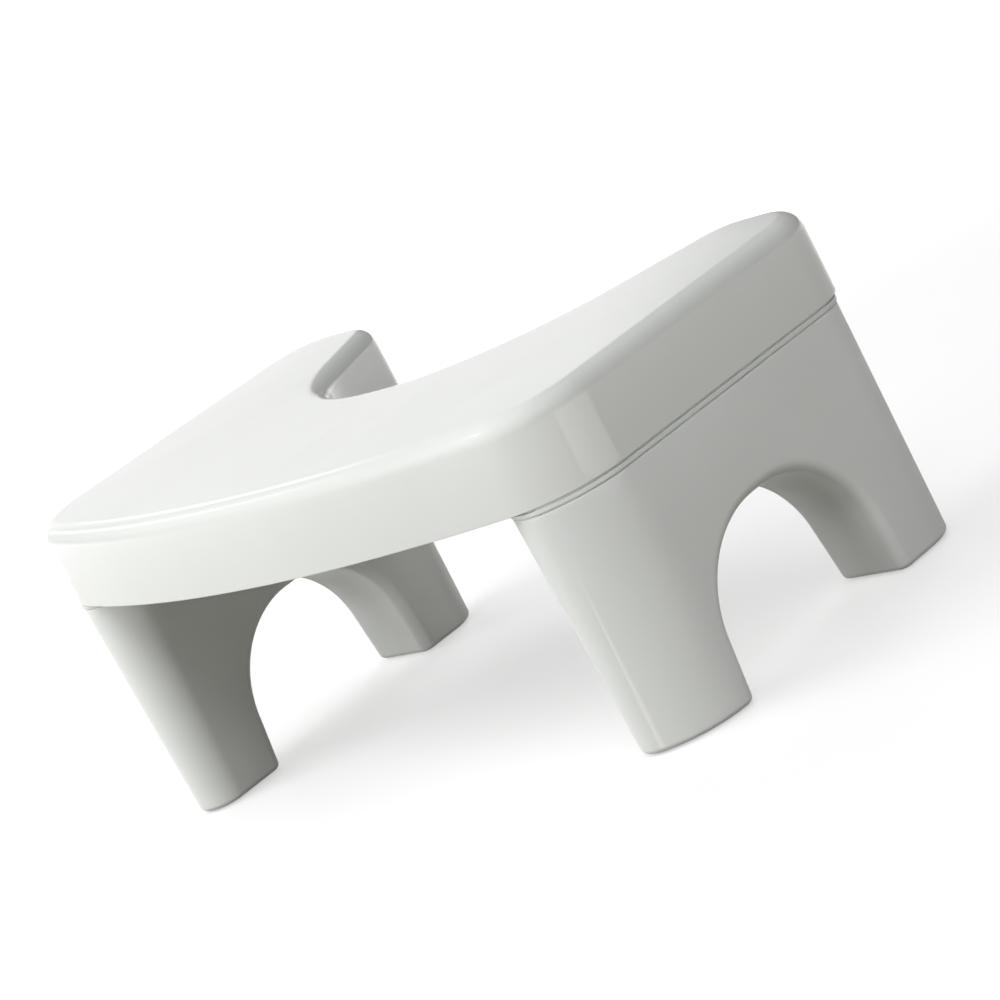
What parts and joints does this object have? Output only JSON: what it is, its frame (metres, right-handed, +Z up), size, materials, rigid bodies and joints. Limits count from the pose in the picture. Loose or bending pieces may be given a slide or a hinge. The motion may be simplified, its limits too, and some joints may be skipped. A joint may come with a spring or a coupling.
{
  "type": "toilet footstool",
  "caption": "Low white plastic toilet footstool: a glossy deck with a bowed front and a rear notch for the toilet, on plug-in hollow arched legs.",
  "frame": {"origin": "centre of the bounding box on the floor the stool stands on", "axes": "+X across the stool to its right, +Y back towards the toilet notch, +Z up"},
  "size_m": [0.409, 0.243, 0.17],
  "materials": {
    "deck_gloss": "glossy white injection-moulded plastic",
    "leg_satin": "satin white injection-moulded plastic",
    "pad_rubber": "matte grey anti-slip rubber"
  },
  "bodies": {
    "deck": {"deck": "deck_gloss"},
    "left_leg": {"left_leg": "leg_satin", "left_front_foot_pad": "pad_rubber", "left_rear_foot_pad": "pad_rubber"},
    "right_leg": {"right_leg": "leg_satin", "right_front_foot_pad": "pad_rubber", "right_rear_foot_pad": "pad_rubber"}
  },
  "joints": [
    {"name": "left_leg_pull", "type": "slide", "parent": "deck", "child": "left_leg", "axis": [0, 0, -1], "range_m": [0, 0.02]},
    {"name": "right_leg_pull", "type": "slide", "parent": "deck", "child": "right_leg", "axis": [0, 0, -1], "range_m": [0, 0.02]}
  ]
}
